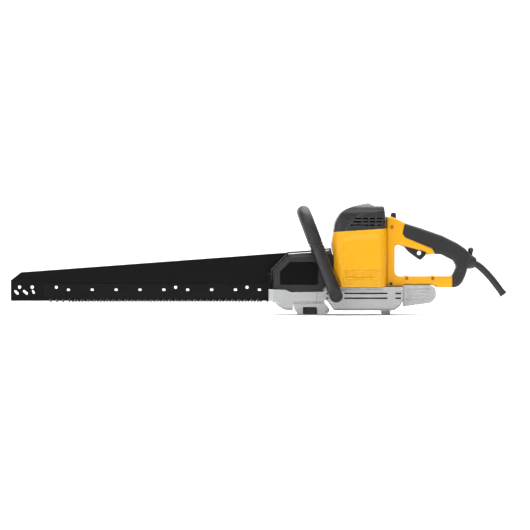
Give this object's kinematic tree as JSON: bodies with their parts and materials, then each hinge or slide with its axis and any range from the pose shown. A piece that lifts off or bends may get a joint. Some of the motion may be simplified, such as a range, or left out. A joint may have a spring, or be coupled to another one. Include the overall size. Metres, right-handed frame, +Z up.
{
  "type": "reciprocating saw",
  "caption": "Corded saw with a long guide bar, blades that slide opposite ways on its two sides, an upright motor, a rear D-handle and a front bail handle.",
  "frame": {"origin": "on the ground below the middle of the saw", "axes": "-X points to the nose of the guide bar, +Y to the operator's right, +Z up"},
  "size_m": [0.972, 0.1274, 0.2174],
  "materials": {
    "bar_black": "satin black coating",
    "blade_black": "black coated steel",
    "carbide": "brazed tip",
    "silver_casting": "painted casting",
    "machined_alloy": "machined",
    "steel": "ground",
    "bearing_steel": "polished",
    "dark_screw": "zinc, dark",
    "zinc_screw": "yellow zinc",
    "core_iron": "laminated",
    "copper": "enamelled copper",
    "bronze": "bronze",
    "carbon": "pressed carbon",
    "fan_plastic": "moulded",
    "black_plastic": "fine texture",
    "yellow_plastic": "satin moulded",
    "soft_grip": "soft overmould",
    "cable_rubber": "moulded rubber"
  },
  "bodies": {
    "housing": {"guide_bar": "bar_black", "carrier_guides": "bronze", "crank_bearing": "bearing_steel", "bearing_plate": "machined_alloy", "gear_housing": "silver_casting", "gear_cover": "silver_casting", "front_housing": "silver_casting", "shoe": "silver_casting", "shoe_pin": "steel", "guard_left": "black_plastic", "guard_right": "black_plastic", "front_brackets": "bar_black", "bar_bolts": "dark_screw", "motor_housing": "yellow_plastic", "top_cap": "black_plastic", "cap_screws": "dark_screw", "housing_screws": "dark_screw", "stator_core": "core_iron", "field_coils": "copper", "armature_lower_bearing": "bearing_steel", "armature_upper_bearing": "bearing_steel", "bearing_bridge": "fan_plastic", "brushes": "carbon", "brush_holders": "bronze", "brush_springs": "steel", "handle_shell_left": "yellow_plastic", "handle_shell_right": "yellow_plastic", "grip_left": "soft_grip", "grip_right": "soft_grip", "handle_screws": "zinc_screw", "trigger_pin": "steel", "switch_module": "fan_plastic", "trigger_spring": "steel", "cord_collar": "cable_rubber", "cord_sleeve": "cable_rubber", "cord_lug": "cable_rubber", "rear_frame": "silver_casting", "rear_foot": "silver_casting", "bail_bolts": "dark_screw", "bail_bosses": "silver_casting", "dust_screen": "fan_plastic"},
    "left_blade": {"carrier_left": "steel", "blade_left": "blade_black", "carbide_tips_left": "carbide"},
    "right_blade": {"carrier_right": "steel", "blade_right": "blade_black", "carbide_tips_right": "carbide"},
    "armature": {"armature_shaft": "steel", "armature_core": "core_iron", "commutator": "copper", "fan": "fan_plastic"},
    "crank": {"drive_gear": "steel", "crankshaft": "steel"},
    "trigger": {"trigger": "black_plastic"},
    "lock_off": {"lock_off_button": "black_plastic", "lock_off_spring": "steel"},
    "release": {"release_button": "black_plastic", "release_spring": "steel"},
    "bail": {"bail_handle": "black_plastic", "bail_grip": "soft_grip"}
  },
  "joints": [
    {"name": "left_blade_slide", "type": "slide", "parent": "housing", "child": "left_blade", "axis": [1, 0, 0], "range_m": [0, 0.04]},
    {"name": "right_blade_slide", "type": "slide", "parent": "housing", "child": "right_blade", "axis": [1, 0, 0], "range_m": [-0.04, 0]},
    {"name": "armature_spin", "type": "hinge", "parent": "housing", "child": "armature", "pos_m": [0.1945, 0, 0.1], "axis": [0, 0, 1], "continuous": true},
    {"name": "crank_spin", "type": "hinge", "parent": "housing", "child": "crank", "pos_m": [0.229, 0, 0.035], "axis": [0, 0, 1], "continuous": true},
    {"name": "trigger_pull", "type": "hinge", "parent": "housing", "child": "trigger", "pos_m": [0.2765, 0, 0.1395], "axis": [0, -1, 0], "range_deg": [0, 8], "stiffness_Nm_per_rad": 0.4, "springref_deg": -17.19},
    {"name": "lock_off_press", "type": "slide", "parent": "housing", "child": "lock_off", "axis": [0, 0, 1], "range_m": [-0.005, 0], "stiffness_N_per_m": 300, "springref_m": 0.003},
    {"name": "release_press", "type": "slide", "parent": "housing", "child": "release", "axis": [0, 0, 1], "range_m": [0, 0.004], "stiffness_N_per_m": 500, "springref_m": -0.003},
    {"name": "bail_tilt", "type": "hinge", "parent": "housing", "child": "bail", "pos_m": [0.1489, 0, 0.0376], "axis": [0, 1, 0], "range_deg": [-30, 0]}
  ],
  "couplings": [
    {"joint": "right_blade_slide", "follows": "left_blade_slide", "ratio": -1},
    {"joint": "crank_spin", "follows": "armature_spin", "ratio": -0.13115}
  ]
}
